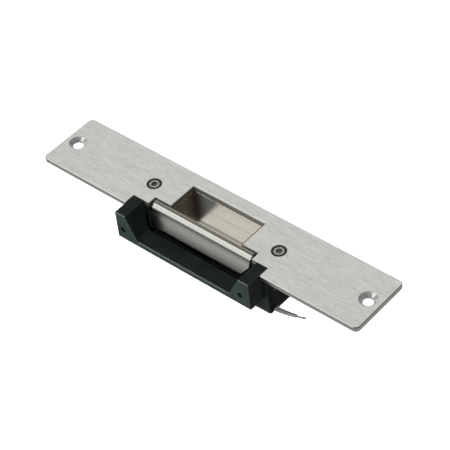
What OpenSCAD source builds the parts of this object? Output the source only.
// Electric door strike for a standard long faceplate.
// Origin: centre of the faceplate's front (top) face.
// +X along the faceplate, +Y away from the lip, +Z out of the front face.

/* [Faceplate] */
// Length of the faceplate
plate_l = 201.6; // [180:0.1:220]
// Width of the faceplate
plate_w = 36.5; // [35.5:0.1:38]
// Thickness of the faceplate
plate_t = 2.6; // [2.6:0.1:2.6]
// Corner radius of the faceplate
plate_r = 2.6; // [2:0.1:5]
// Small chamfer round the front edge
plate_chamfer = 0.35; // [0.1:0.05:0.6]
// Distance between the two frame-screw holes
frame_hole_pitch = 186.8; // [165:0.1:190]
// Diameter of a frame-screw hole
frame_hole_d = 5.5; // [4.5:0.1:6]
// Diameter of the countersink at the front face
frame_csk_d = 9.3; // [8:0.1:11]
// Distance between the two body-screw holes
body_screw_pitch = 80.4; // [79.6:0.1:81]

/* [Openings] */
// Length of the latch window
window_l = 45.6; // [44:0.1:46]
// Length of the notch the keeper stands in
keeper_notch_l = 66.4; // [66:0.1:68]
// Length of the notch the lip bracket stands in
lip_notch_l = 86.4; // [86.2:0.1:87]

/* [Lip bracket] */
// Overall length of the lip bracket
lip_l = 85.6; // [85:0.1:85.8]
// Distance of the lip's front face from the centre line
lip_front = 26.4; // [25:0.1:30]
// Depth of the trough below the front face
trough_d = 13.5; // [13.3:0.1:13.8]
// Core diameter of the tapped holes for a lip extension
lip_hole_d = 3.3; // [3:0.1:3.4]
// Shift of the pair of tapped holes from the middle
lip_hole_shift = -1; // [-1.2:0.1:0]

/* [Keeper] */
// Length of the keeper
keeper_l = 64; // [62:0.1:65]
// Diameter of the keeper pin
keeper_pin_d = 2.8; // [2.6:0.1:2.8]

/* [Body] */
// Length of the body behind the faceplate
body_l = 90.8; // [90.8:0.1:91.5]
// Width of the body
body_w = 30.8; // [30.8:0.1:31.4]
// Depth of the body's back below the front face
body_d = 28; // [28:0.1:28]

/* [Release] */
// Diameter of the plunger
plunger_d = 5.4; // [5:0.1:5.4]
// Angle between the lever's free and locked positions
lever_swing = 16; // [16:0.5:16]

/* [Leads] */
// Outside diameter of one insulated lead
lead_d = 1.4; // [1.2:0.1:1.4]

/* [Hidden] */
$fn = 48;
eps = 0.01;
fit = 0.02; // radial gap of a tight hole round its pin or screw

// half lengths, and half the body's width
window_x = window_l / 2;
lip_x = lip_l / 2;
keeper_x = keeper_l / 2;
body_x = body_l / 2;
body_y = body_w / 2;

// body
wall = 1.8;
cover_t = 1.2;
cover_z = -body_d + cover_t;
bay_top = -15.4;
core_z = -13.5; // floor of the hollows open to the faceplate
notch_y = [-13.4, -9.5]; // notch for the lead grommet
notch_top = -25.4;

// screws
screw_x = body_screw_pitch / 2;
body_screw_r = 2;
ear_screw_r = body_screw_r + 0.2; // clearance hole
post_x = 41.35;
post_y = [-4.2, 11.4];
cover_screw_r = 1.25;

// lip bracket: its faces towards +Y and -Z, and its ears
lip_back = -12.15;
lip_z = -17;
ear_x = 39.2;
ear_half = 3.6;
ear_y = 4;
ear_z = -5.2;

// keeper pin axis, in the Y-Z plane, and the barrel round it
hinge_y = -10.3;
hinge_z = -13.6;
keeper_pin_r = keeper_pin_d / 2;
barrel_x = 26.2;
bush_r = 2;

// lever pivot, in the X-Y plane
pivot_x = -3.5;
pivot_y = 1;
pivot_r = 1.2;

// plunger axis, and the link pin with the lever in its free position
plunger_y = 7;
plunger_z = -20.6;
plunger_r = plunger_d / 2;
half_swing = lever_swing / 2;
stroke = 2 * (plunger_y - pivot_y) * tan(half_swing);
link_x = pivot_x - stroke / 2;
link_r = 1;

// solenoid
tab_t = 1.1;
tab_screw_x = 36.5;
tab_screw_y = [plunger_y - 3.4, plunger_y + 3.4];
tab_screw_r = 1.25;
bobbin_x = [5.75, 33.25];
bobbin_flange_t = 0.9;
bobbin_r = 3.3;
rivet_r = 1.5;

// terminal board
board_z = [-22.4, -21.22];
board_screw_x = [24, 33];
board_screw_y = -5;
board_screw_r = 1;
terminal_x = 36.6;
terminal_y = [-8.4, -11.2];
terminal_r = 0.6;
diode_leg_x = [24.6, 32.4];
diode_y = -9.8;

// centre lines of the two leads, [x, y, z]; the fourth point is in the grommet
lead_paths = [
    [[37.45, -11.2, -23.6], [40, -11.8, -25.2], [42.2, -12.2, -26.75],
        [45.8, -12.2, -27.1], [51, -11.65, -26.65], [57.2, -10.3, -26.2]],
    [[37.45, -8.4, -23.6], [40, -9.6, -25.2], [42.2, -10.7, -26.75],
        [45.8, -10.72, -27.1], [51, -10.2, -27.2], [56.3, -9.25, -27.25]]];
// further points of the bare end of each lead
bare_points = [
    [[59.6, -9.4, -26.6], [61.5, -8.4, -26.9]],
    [[58.6, -8.6, -27.4], [60.4, -7.6, -27.5]]];

// ---------- general shapes ----------

// upright slab with rounded corners; x and y are half sizes
module slab(x, y, z0, z1, r) {
    translate([0, 0, z0]) linear_extrude(z1 - z0) {
        square([2 * x - 2 * r, 2 * y], center = true);
        square([2 * x, 2 * y - 2 * r], center = true);
        for (i = [-1, 1], j = [-1, 1]) translate([i * (x - r), j * (y - r)]) circle(r);
    }
}

// block between two corners
module block(low, high) { translate(low) cube(high - low); }

// blocks centred at -x and +x, with y and z given as [from, to]
module block_pair(x, half_l, y, z) {
    for (i = [-1, 1]) block([i * x - half_l, y[0], z[0]], [i * x + half_l, y[1], z[1]]);
}

// the children at the +X end, and their mirror image at the -X end
module both_ends() { for (side = [0, 1]) mirror([side, 0, 0]) children(); }

// a Y-Z outline drawn out along X between x0 and x1
module along_x(x0, x1, outline) {
    translate([x0, 0, 0]) rotate([90, 0, 90]) linear_extrude(x1 - x0) polygon(outline);
}

// an X-Z outline drawn out along Y between y0 and y1
module along_y(y0, y1, outline) {
    translate([0, y1, 0]) rotate([90, 0, 0]) linear_extrude(y1 - y0) polygon(outline);
}

// cylinder lying along X
module xcyl(x0, x1, y, z, r) {
    translate([x0, y, z]) rotate([0, 90, 0]) cylinder(h = x1 - x0, r = r);
}

// cylinders lying along X on the keeper pin's axis and on the plunger's axis
module hinge_cyl(x0, x1, r) { xcyl(x0, x1, hinge_y, hinge_z, r); }
module plunger_cyl(x0, x1, r) { xcyl(x0, x1, plunger_y, plunger_z, r); }

// cylinder standing along Z
module zcyl(x, y, z0, z1, r) { translate([x, y, z0]) cylinder(h = z1 - z0, r = r); }

// round bar between two points
module bar(from, to, r) {
    d = to - from;
    translate(from) rotate([0, acos(d[2] / norm(d)), atan2(d[1], d[0])])
        cylinder(h = norm(d), r = r, $fn = 24);
}

// bent wire of straight bars, with a ball at each bend
module wire(path, r) {
    for (i = [0:len(path) - 2]) bar(path[i], path[i + 1], r);
    for (i = [1:len(path) - 2]) translate(path[i]) sphere(r = r, $fn = 24);
}

function unit(v) = v / norm(v);

// point at t on a Catmull-Rom curve through four points, between p1 and p2
function smooth(p0, p1, p2, p3, t) = 0.5 * (2 * p1 + (p2 - p0) * t
    + (2 * p0 - 5 * p1 + 4 * p2 - p3) * t * t + (3 * p1 - p0 - 3 * p2 + p3) * t * t * t);

// smooth curve through a list of points
function curve(path, steps = 3) = let (last = len(path) - 1) concat(
    [for (i = [0:last - 1], k = [0:steps - 1])
        smooth(path[max(i - 1, 0)], path[i], path[i + 1], path[min(i + 2, last)], k / steps)],
    [path[last]]);

// arc that rounds a corner between its two neighbours, in n steps
function fillet(before, corner, after, r, n) =
    let (
        u = unit(before - corner),
        v = unit(after - corner),
        half = acos(u * v) / 2,
        centre = corner + unit(u + v) * r / sin(half),
        first = corner + u * r / tan(half) - centre,
        last = corner + v * r / tan(half) - centre,
        start = atan2(first[1], first[0]),
        turn = (atan2(last[1], last[0]) - start + 540) % 360 - 180)
    [for (i = [0:n]) centre + r * [cos(start + turn * i / n), sin(start + turn * i / n)]];

// outline from rows of two coordinates and a corner radius
function rounded(rows, n = 4) =
    let (m = len(rows), pts = [for (row = rows) [row[0], row[1]]])
    [for (i = [0:m - 1]) each rows[i][2] == 0 ? [pts[i]]
        : fillet(pts[(i + m - 1) % m], pts[i], pts[(i + 1) % m], rows[i][2], n)];

// closed skin swept along rings of points that all have the same count
module swept(rings) {
    n = len(rings[0]);
    m = len(rings);
    polyhedron(
        points = [for (ring = rings) each ring],
        faces = concat(
            [[for (k = [0:n - 1]) n - 1 - k]],
            [for (i = [0:m - 2], k = [0:n - 1])
                [i * n + k, i * n + (k + 1) % n, (i + 1) * n + (k + 1) % n, (i + 1) * n + k]],
            [[for (k = [0:n - 1]) (m - 1) * n + k]]));
}

// flexible lead: a closed round tube along a smooth curve
module flex(path, r, sides = 12) {
    line = curve(path);
    last = len(line) - 1;
    swept([for (i = [0:last])
        let (
            along = unit(line[min(i + 1, last)] - line[max(i - 1, 0)]),
            across = unit(cross(along, [0.1, 0.2, 1])),
            up = cross(along, across))
        [for (k = [0:sides - 1]) let (angle = -360 * (k + 0.5) / sides)
            line[i] + r * (cos(angle) * across + sin(angle) * up)]]);
}

// helical spring along X
module spring(x0, x1, y, z, coil_r, wire_r, turns, steps = 18, sides = 6) {
    m = turns * steps;
    swept([for (i = [0:m]) let (a = 360 * i / steps, x = x0 + (x1 - x0) * i / m)
        [for (k = [0:sides - 1])
            let (b = 360 * k / sides, reach = coil_r + wire_r * cos(b))
            [x + wire_r * sin(b), y + reach * cos(a), z + reach * sin(a)]]]);
}

// countersunk screw with a six-sided recess, its head's flat at z = 0 and its point below
module csk_screw(head_r, shank_r, length, recess_r, rim) {
    cone = head_r - shank_r;
    difference() {
        union() {
            translate([0, 0, -rim]) cylinder(h = rim, r = head_r);
            translate([0, 0, -rim - cone]) cylinder(h = cone, r1 = shank_r, r2 = head_r);
            translate([0, 0, -length]) cylinder(h = length - rim - cone + eps, r = shank_r);
        }
        translate([0, 0, -1.5]) cylinder(h = 2, r = recess_r, $fn = 6);
    }
}

// ---------- faceplate ----------

// rounded plate whose front edge carries a small chamfer
module plate_blank() {
    x = plate_l / 2;
    y = plate_w / 2;
    r = plate_r;
    c = plate_chamfer;
    function bevel(half) = [[-half, -c], [half, -c], [half - c, 0], [-half + c, 0]];
    slab(x, y, -plate_t, -c, r);
    along_x(-x + r, x - r, bevel(y));
    along_y(-y + r, y - r, bevel(x));
    for (i = [-1, 1], j = [-1, 1])
        translate([i * (x - r), j * (y - r), -c]) cylinder(h = c, r1 = r, r2 = r - c);
}

module faceplate() color([0.74, 0.74, 0.72]) {
    window_y = [-7, 10.1];
    frame_r = frame_hole_d / 2;
    frame_csk_r = frame_csk_d / 2;
    frame_cone = frame_csk_r - frame_r;
    body_csk_r = 3.9;
    body_cone = 1.68;
    difference() {
        plate_blank();
        block([-window_x, window_y[0], -5], [window_x, window_y[1], 2]);
        // stepped notch for keeper and lip bracket
        block([-keeper_notch_l / 2, -12.2, -5], [keeper_notch_l / 2, window_y[0] + eps, 2]);
        block([-lip_notch_l / 2, -30, -5], [lip_notch_l / 2, -12, 2]);
        for (i = [-1, 1]) {
            // frame-screw holes
            zcyl(i * frame_hole_pitch / 2, 0, -5, 1, frame_r);
            translate([i * frame_hole_pitch / 2, 0, -frame_cone])
                cylinder(h = frame_cone + eps, r1 = frame_r, r2 = frame_csk_r + eps);
            // body-screw holes
            zcyl(i * screw_x, 0, -5, 1, ear_screw_r);
            translate([i * screw_x, 0, -body_cone])
                cylinder(h = body_cone + eps, r1 = body_csk_r - body_cone, r2 = body_csk_r + eps);
        }
    }
}

module faceplate_screws() color([0.70, 0.70, 0.69])
    for (i = [-1, 1]) translate([i * screw_x, 0, -0.12])
        csk_screw(head_r = 3.45, shank_r = body_screw_r, length = 12, recess_r = 1.75, rim = 0.28);

// ---------- lip bracket ----------

module lip_bracket() color([0.13, 0.14, 0.14]) {
    front = -lip_front;
    top_edge = 0.4; // chamfers along the front face
    low_edge = 0.5;
    rim_x = 36.5;
    ledge_top = -15.8;
    // cheek, X-Z: the inner face slopes in towards the trough
    cheek = [[lip_x, 0], [rim_x, 0], [rim_x + 0.515 * lip_z, lip_z], [lip_x, lip_z]];
    // behind the front rim the sloping face stands back a little, X-Z
    set_back = [[rim_x, eps], [20, eps], [20, lip_z], [rim_x + 0.44 * lip_z, lip_z]];
    // side, Y-Z
    side = [[front + top_edge, 0], [front, -top_edge], [front, lip_z + low_edge],
        [front + low_edge, lip_z], [lip_back, lip_z], [lip_back, 0]];
    // trough floor, Y-Z
    trough = [[front, lip_z + low_edge], [front, -trough_d - top_edge],
        [front + top_edge, -trough_d], [-17, -13.3], [-17, lip_z], [front + low_edge, lip_z]];
    // the keeper's bay behind the trough, X-Y
    bay = [[-36.4, -12], [-34.6, -13.2], [-33.2, -15.3], [-32.1, -16.4], [-30, -17], [30, -17],
        [32.1, -16.4], [33.2, -15.3], [34.6, -13.2], [36.4, -12], [36.4, -5], [-36.4, -5]];
    difference() {
        union() {
            both_ends() difference() {
                intersection() {
                    along_y(front - 1, -5, cheek);
                    along_x(20, lip_x, side);
                }
                along_y(front + 1.3, -5, set_back);
            }
            along_x(-lip_x + 4, lip_x - 4, trough);
            // ledge that rests on the body
            along_x(-33, 33, [[-17.5, ledge_top], [-13.9, ledge_top], [-13.9, lip_z],
                [-17.5, lip_z]]);
            // ears clamped under the faceplate by the two body screws
            block_pair(ear_x, ear_half, [-12.5, ear_y], [ear_z, -plate_t]);
        }
        // keeper bay, leaving the ears whole
        difference() {
            translate([0, 0, ledge_top + eps]) linear_extrude(20) polygon(bay);
            block_pair(ear_x, ear_half, [lip_back, ear_y], [ear_z, -plate_t]);
        }
        for (i = [-1, 1]) {
            // tapped holes for a lip extension
            translate([lip_hole_shift + i * 37.9, front - 1, -10.3])
                rotate([-90, 0, 0]) cylinder(h = 9.4, r = lip_hole_d / 2);
            zcyl(i * screw_x, 0, -6, 0, ear_screw_r);
        }
    }
}

// ---------- body ----------

// outer block with its hollows
module housing_shell() {
    inner_x = body_x - wall;
    inner_y = body_y - wall;
    seat_x = lip_x + 0.15;
    pocket_bay_x = window_x + 0.98;
    difference() {
        slab(body_x, body_y, cover_z, -plate_t, 1.3);
        // seat of the lip bracket and its ears
        block([-seat_x, -20, lip_z - 0.05], [seat_x, lip_back + 0.05, 1]);
        block_pair(ear_x, ear_half + 0.1, [-13, ear_y + 0.1], [ear_z - 0.05, 1]);
        // bay of the keeper
        block([-33, -13.8, -19], [33, -6.9, 1]);
        // bay of the latch pocket
        block([-pocket_bay_x, -7, core_z], [pocket_bay_x, 11.2, 1]);
        // mechanism bay, and a second core towards -X
        block([-16, -inner_y, cover_z - 1], [inner_x, inner_y, bay_top]);
        block([-inner_x, -5, cover_z - 1], [-17.5, inner_y, bay_top]);
        // cores beside the pocket
        block_pair(29.9, 4.4, [-5.2, 11.6], [core_z, 1]);
    }
}

module housing() color([0.09, 0.09, 0.09]) difference() {
    union() {
        housing_shell();
        // posts for the cover screws
        for (i = [-1, 1], y = post_y) zcyl(i * post_x, y, cover_z, bay_top + 0.1, 2.4);
        // seat above the lever
        zcyl(pivot_x, pivot_y, -19.4, bay_top + 0.1, 2.2);
        // bosses of the terminal board
        for (x = board_screw_x)
            zcyl(x, board_screw_y, board_z[1] + fit, bay_top + 0.1, 1.8);
    }
    // body screws, keeper pin and its grub screw
    for (i = [-1, 1]) zcyl(i * screw_x, 0, -13, 0, body_screw_r + fit);
    hinge_cyl(-38, 50, keeper_pin_r + 0.03);
    hinge_cyl(39.5, 50, 1.75);
    // cover screws
    for (i = [-1, 1], y = post_y) zcyl(i * post_x, y, cover_z - 1, -19, cover_screw_r + fit);
    // lever pivot pin
    zcyl(pivot_x, pivot_y, -20, -14, pivot_r + fit);
    // solenoid and board screws
    for (y = tab_screw_y) zcyl(tab_screw_x, y, -16, -10, tab_screw_r + fit);
    for (x = board_screw_x) zcyl(x, board_screw_y, -22, -16.6, board_screw_r + fit);
    // notch for the lead grommet
    block([body_x - wall - 0.5, notch_y[0], cover_z - 1], [body_x + 1, notch_y[1], notch_top]);
}

module back_cover() color([0.10, 0.10, 0.10]) {
    hole_r = 1.4;
    cone = 1;
    difference() {
        slab(body_x, body_y, -body_d, cover_z, 1.3);
        for (i = [-1, 1], y = post_y) {
            zcyl(i * post_x, y, -30, -20, hole_r);
            translate([i * post_x, y, -body_d - eps])
                cylinder(h = cone, r1 = hole_r + cone, r2 = hole_r);
        }
        // blind hole for the lever pivot pin
        zcyl(pivot_x, pivot_y, -27.55, -20, pivot_r + fit);
        // notch for the leads
        block([39.8, notch_y[0], -30], [body_x + 1, notch_y[1], -20]);
    }
}

module cover_screws() color([0.55, 0.55, 0.54])
    for (i = [-1, 1], y = post_y) translate([i * post_x, y, -body_d + 0.08]) mirror([0, 0, 1])
        csk_screw(head_r = 2.15, shank_r = cover_screw_r, length = 7.5, recess_r = 0.85,
            rim = 0.12);

// folded tray that the latch bolt drops into
module latch_pocket() color([0.72, 0.68, 0.62]) {
    sheet = 0.8;
    x = window_x - 0.35;
    y = 9.75;
    floor_z = -12.6;
    difference() {
        block([-x - sheet, -6.9, floor_z - sheet], [x + sheet, y + sheet, -plate_t]);
        block([-x, -8, floor_z], [x, y, 1]);
    }
}

// ---------- keeper ----------

// keeper's cross-section: y, z, corner radius
keeper_profile = [
    [-8.1, 0, 0], [-9.85, -0.42, 0.5], [-11.8, -2.45, 2.6], [-13.6, -6.4, 12],
    [-15.35, -11.3, 1], [-14.75, -12.15, 0.6], [-13.6, -12.4, 0.6],
    [-8.3, -12.4, 0], [-7.9, -11.9, 0], [-7.9, -0.25, 0]];

module keeper() color([0.70, 0.69, 0.66]) {
    shoulder = -5.8;
    low = -20;
    // both ends taper below the shoulder, to pass the sloping cheeks
    taper = [[keeper_x, shoulder], [keeper_x + 2, shoulder], [keeper_x + 2, low],
        [keeper_x - 0.72 * (shoulder - low), low]];
    difference() {
        union() {
            difference() {
                along_x(-keeper_x, keeper_x, rounded(keeper_profile));
                both_ends() along_y(-20, 0, taper);
                // relief over the bush flanges and the springs
                both_ends() {
                    hinge_cyl(barrel_x, 29, 2.66);
                    hinge_cyl(28.1, 34, 3.4);
                }
            }
            hinge_cyl(-barrel_x, barrel_x, 2.7);
            // tail that the locking lever blocks
            block([-10.4, hinge_y - 1, hinge_z - 10.8], [-3.3, hinge_y + 1, hinge_z]);
        }
        hinge_cyl(-40, 40, keeper_pin_r + 0.06);
        // bush seats
        for (i = [-1, 1]) hinge_cyl(i * 26 - 4, i * 26 + 4, bush_r + fit);
        // holes for the springs' moving legs
        for (i = [-1, 1]) zcyl(i * 28.6, hinge_y + 1.6, -13, -9, 0.5);
    }
}

// flanged bushes pressed into the barrel's ends
module keeper_bushes() color([0.72, 0.55, 0.30]) both_ends() difference() {
    union() {
        hinge_cyl(22.1, barrel_x, bush_r);
        hinge_cyl(barrel_x, barrel_x + 0.6, bush_r + 0.6);
    }
    hinge_cyl(20, 30, keeper_pin_r + 0.05);
}

module keeper_pin() color([0.62, 0.62, 0.62]) hinge_cyl(-37.6, 37.6, keeper_pin_r);

module keeper_pin_grub_screw() color([0.25, 0.25, 0.25]) difference() {
    hinge_cyl(40.2, 45.2, 1.7);
    translate([43.4, hinge_y, hinge_z]) rotate([0, 90, 0]) cylinder(h = 3, r = 0.9, $fn = 6);
}

// torsion springs round the pin, one at each end of the keeper
module keeper_springs() color([0.60, 0.60, 0.60]) both_ends()
    spring(28.9, 32.6, hinge_y, hinge_z, coil_r = 2.3, wire_r = 0.33, turns = 5);

// ---------- release mechanism ----------

// lever in its free position; the nose swings under the keeper's tail path
module locking_lever() color([0.20, 0.20, 0.21]) {
    low = -26.2;
    top = -19.6;
    slot = link_r + 0.12;
    translate([pivot_x, pivot_y, 0]) rotate([0, 0, half_swing]) difference() {
        union() {
            zcyl(0, 0, low, top, 2.4);
            // nose, rounded about the pivot
            rotate([0, 0, half_swing]) intersection() {
                union() {
                    block([-0.9, -12, low], [1.6, 0, -22.6]);
                    block([-1.6, -12, low], [1.6, -6.8, -22.6]);
                }
                zcyl(0, 0, -27, -20, 10.1);
            }
            // forked drive arm
            block([-2.2, 0, top - 2], [2.2, 7.7, top]);
        }
        block([-slot, 4.2, -22], [slot, 9, -19]);
        zcyl(0, 0, -27, -19, pivot_r + 0.05);
    }
}

module lever_pivot_pin() color([0.65, 0.65, 0.65]) zcyl(pivot_x, pivot_y, -27.5, -14.1, pivot_r);

module plunger() color([0.66, 0.66, 0.65]) difference() {
    union() {
        plunger_cyl(link_x - 2.3, 20, plunger_r);
        // collar that the return spring bears on
        plunger_cyl(-0.4, 0.5, 3.9);
    }
    // clevis slot and link-pin holes
    block([link_x - 4, plunger_y - 4, plunger_z - 1.1], [-0.5, plunger_y + 4, plunger_z + 1.1]);
    zcyl(link_x, plunger_y, plunger_z - 4, plunger_z + 4, link_r + fit);
}

module plunger_link_pin() color([0.72, 0.72, 0.72])
    zcyl(link_x, plunger_y, plunger_z - 2.5, plunger_z + 2.5, link_r);

module plunger_return_spring() color([0.60, 0.60, 0.60])
    spring(0.8, 4.2, plunger_y, plunger_z, coil_r = 3.25, wire_r = 0.22, turns = 4);

// open frame of flat strip, with a tab for the two screws at its +X end
module solenoid_frame() color([0.58, 0.58, 0.56]) {
    x0 = 4.5;
    x1 = 34.5;
    end_t = 1.2;
    y0 = plunger_y - 5.6;
    y1 = plunger_y + 5.6;
    low = -26.6;
    difference() {
        union() {
            block([x0, y0, low], [x0 + end_t, y1, -15.7]);
            block([x1 - end_t, y0, low], [x1, y1, bay_top]);
            block([x0, y0, low], [x1, y1, low + tab_t]);
            block([x1 - end_t, y0, bay_top - tab_t], [38.5, y1, bay_top]);
        }
        plunger_cyl(4, 6.5, plunger_r + 0.06);
        plunger_cyl(33, 35, rivet_r + fit);
        for (y = tab_screw_y) zcyl(tab_screw_x, y, -18, -14, tab_screw_r + 0.1);
    }
}

module solenoid_bobbin() color([0.86, 0.84, 0.78]) {
    flange_r = 4.75;
    difference() {
        union() {
            plunger_cyl(bobbin_x[0], bobbin_x[1], bobbin_r);
            plunger_cyl(bobbin_x[0], bobbin_x[0] + bobbin_flange_t, flange_r);
            plunger_cyl(bobbin_x[1] - bobbin_flange_t, bobbin_x[1], flange_r);
        }
        plunger_cyl(5, 34, 2.78);
    }
}

module coil_winding() color([0.70, 0.33, 0.14]) {
    inset = bobbin_flange_t + 0.05;
    difference() {
        plunger_cyl(bobbin_x[0] + inset, bobbin_x[1] - inset, 4.5);
        plunger_cyl(bobbin_x[0], bobbin_x[1], bobbin_r + 0.03);
    }
}

module core_stop() color([0.62, 0.62, 0.61]) {
    plunger_cyl(21.9, 33.28, 2.72);
    plunger_cyl(33, 35.3, rivet_r);
}

module solenoid_screws() color([0.68, 0.68, 0.67]) for (y = tab_screw_y) difference() {
    union() {
        zcyl(tab_screw_x, y, -18.1, bay_top - tab_t - fit, 1.85);
        zcyl(tab_screw_x, y, -17, -10.5, tab_screw_r);
    }
    translate([tab_screw_x, y, -18.6]) cylinder(h = 1.5, r = 0.9, $fn = 6);
}

// ---------- terminal board and leads ----------

module terminal_board() color([0.16, 0.32, 0.18]) difference() {
    block([22, -12.6, board_z[0]], [38.5, -2.9, board_z[1]]);
    for (x = board_screw_x) zcyl(x, board_screw_y, -25, -20, board_screw_r + 0.1);
    for (y = terminal_y) zcyl(terminal_x, y, -25, -20, terminal_r + fit);
    for (x = diode_leg_x) zcyl(x, diode_y, -25, -20, 0.4);
}

// slotted screws, their heads below the board
module board_screws() color([0.68, 0.68, 0.67]) for (x = board_screw_x) difference() {
    union() {
        zcyl(x, board_screw_y, -23.6, board_z[0] - fit, 1.75);
        zcyl(x, board_screw_y, -23, -17, board_screw_r);
    }
    block([x - 2, board_screw_y - 0.25, -24], [x + 2, board_screw_y + 0.25, -23.1]);
}

module terminal_pins() color([0.80, 0.72, 0.45])
    for (y = terminal_y) zcyl(terminal_x, y, -24.3, -20.6, terminal_r);

module surge_diode() color([0.10, 0.10, 0.11]) {
    y = diode_y;
    z = -23.9;
    leg_top = -21;
    leg_r = 0.33;
    x0 = diode_leg_x[0];
    x1 = diode_leg_x[1];
    xcyl(26.2, 30.8, y, z, 1.3);
    wire([[x0, y, leg_top], [x0, y, z], [x0 + 1.8, y, z]], leg_r);
    wire([[x1 - 1.8, y, z], [x1, y, z], [x1, y, leg_top]], leg_r);
}

module coil_leads() color([0.72, 0.36, 0.15]) {
    // centre lines, [x, y, z]
    paths = [
        [[31.0, 2.2, -20.9], [31.6, 0.6, -21.8], [35.5, -2.0, -23.3], [36.0, -7.7, -23.5]],
        [[29.6, 2.2, -20.9], [30.2, 0.3, -22.2], [34.9, -2.4, -24.4], [35.8, -10.6, -23.6]]];
    for (path = paths) flex(path, 0.25, sides = 8);
}

module lead_wires() color([0.78, 0.78, 0.76])
    for (path = lead_paths) flex(path, lead_d / 2);

module lead_wire_ends() color([0.80, 0.80, 0.80])
    for (i = [0, 1])
        flex(concat([lead_paths[i][5] + [0.03, 0, 0]], bare_points[i]), 0.3, sides = 10);

// saddle that holds the leads down in the wall's notch; its slots are open at the bottom
module lead_grommet() color([0.07, 0.07, 0.07]) {
    gap = 0.05;
    inner_x = body_x - wall;
    slot_r = lead_d / 2 + 0.14;
    slot_z = -27;
    difference() {
        union() {
            block([inner_x, notch_y[0] + gap, -body_d + gap],
                [body_x, notch_y[1] - gap, notch_top - gap]);
            // flange inside the wall
            block([inner_x - 0.8, -13.5, -26.75], [inner_x, -9.2, -25.1]);
        }
        for (path = lead_paths) {
            y = path[3][1];
            xcyl(body_x - 4, body_x + 1, y, slot_z, slot_r);
            block([body_x - 4, y - slot_r, -29], [body_x + 1, y + slot_r, slot_z]);
        }
    }
}

faceplate();
faceplate_screws();
lip_bracket();
housing();
back_cover();
cover_screws();
latch_pocket();
keeper();
keeper_bushes();
keeper_pin();
keeper_pin_grub_screw();
keeper_springs();
locking_lever();
lever_pivot_pin();
plunger();
plunger_link_pin();
plunger_return_spring();
solenoid_frame();
solenoid_bobbin();
coil_winding();
core_stop();
solenoid_screws();
terminal_board();
board_screws();
terminal_pins();
surge_diode();
coil_leads();
lead_wires();
lead_wire_ends();
lead_grommet();
